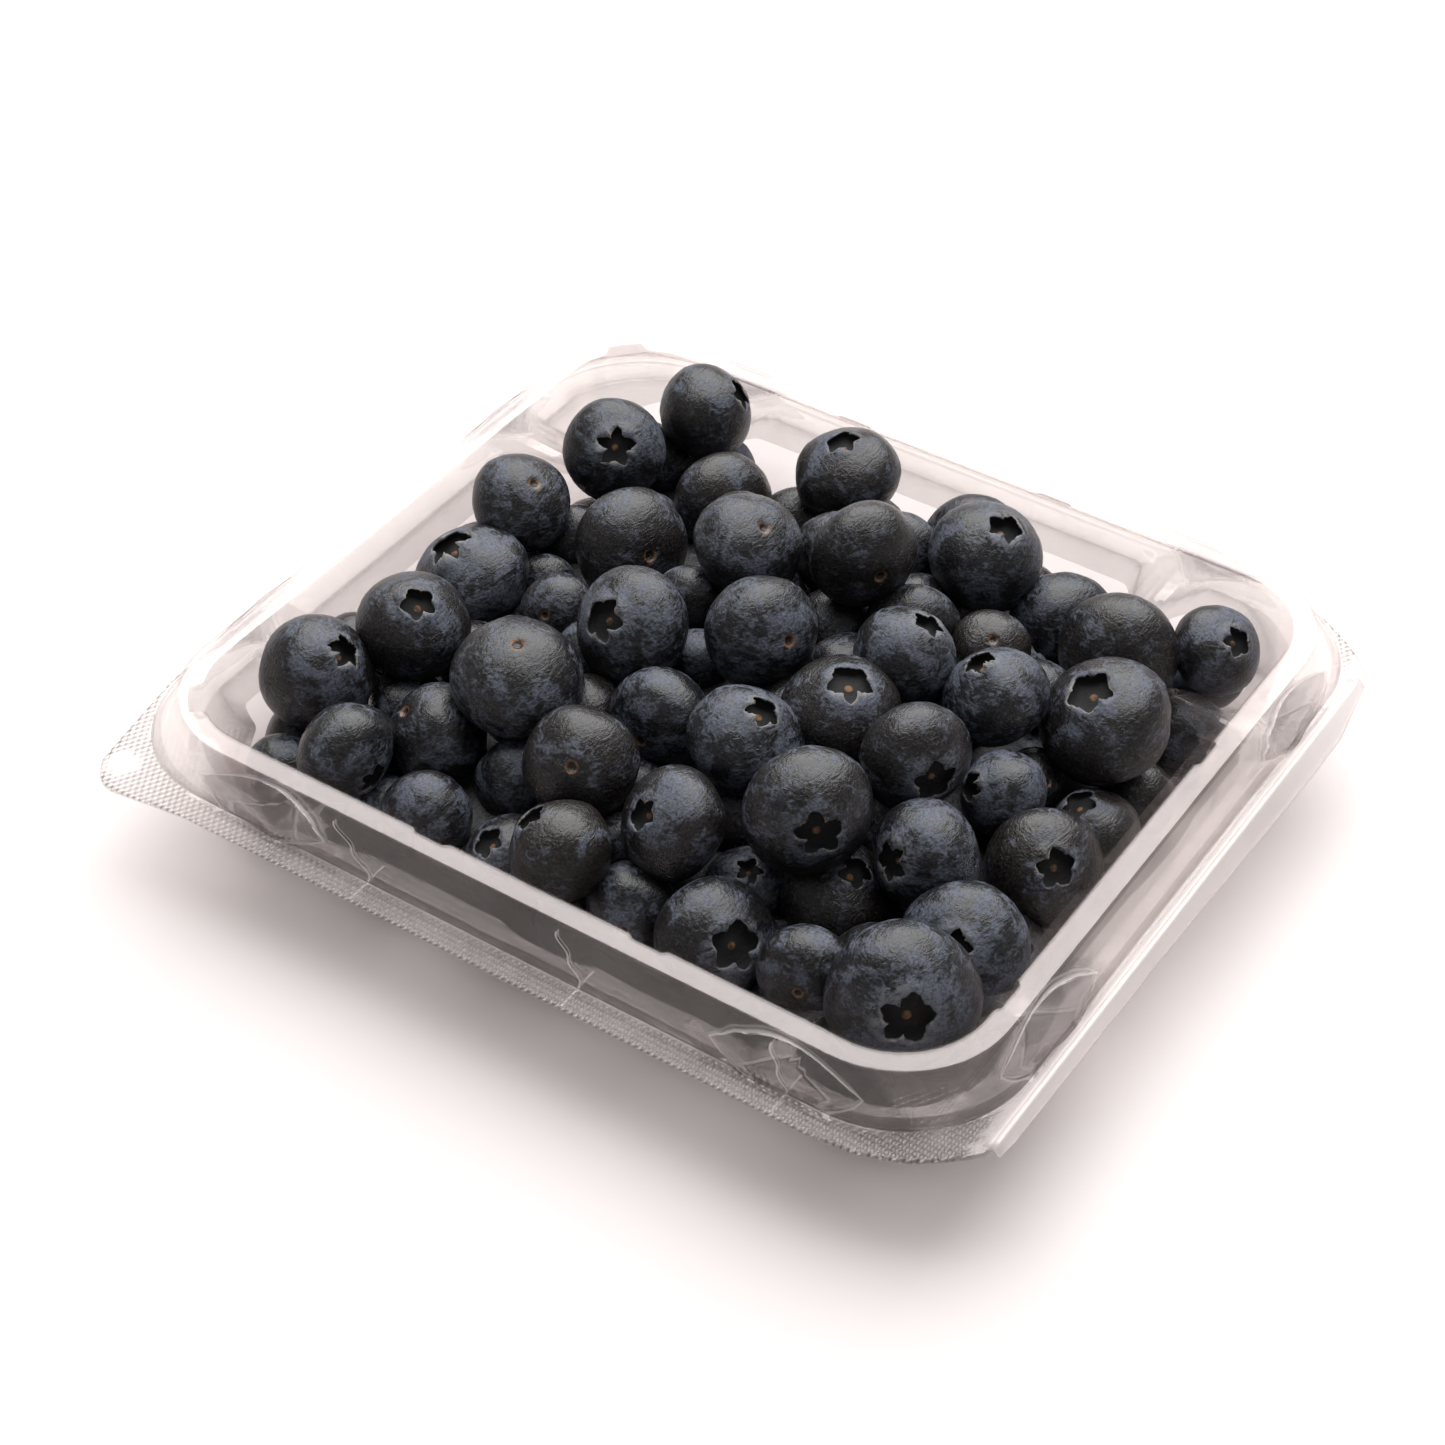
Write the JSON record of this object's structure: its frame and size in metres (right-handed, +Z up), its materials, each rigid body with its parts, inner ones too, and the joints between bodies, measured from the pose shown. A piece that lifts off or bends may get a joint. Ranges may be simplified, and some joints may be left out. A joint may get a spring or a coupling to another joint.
{
  "type": "blueberry_punnet",
  "caption": "Clear formed plastic punnet with rounded corners, a hinge edge and a lifting tab, heaped with fresh dark blueberries.",
  "frame": {"origin": "the middle of the tray's flat base, on the surface it stands on", "axes": "+X along the long side towards the hinge edge, +Y along the short side away from the broad flange, +Z up; the lifting tab is at the corner of -X and -Y"},
  "size_m": [0.1457, 0.1314, 0.0376],
  "materials": {
    "clear_plastic": "clear thin formed plastic sheet, glossy, with a fine raised pattern on the flange",
    "berry_skin": "dark blue-black fruit skin with a pale waxy bloom"
  },
  "bodies": {
    "root": {"punnet_tray": "clear_plastic", "berry_heap": "berry_skin"}
  },
  "joints": []
}
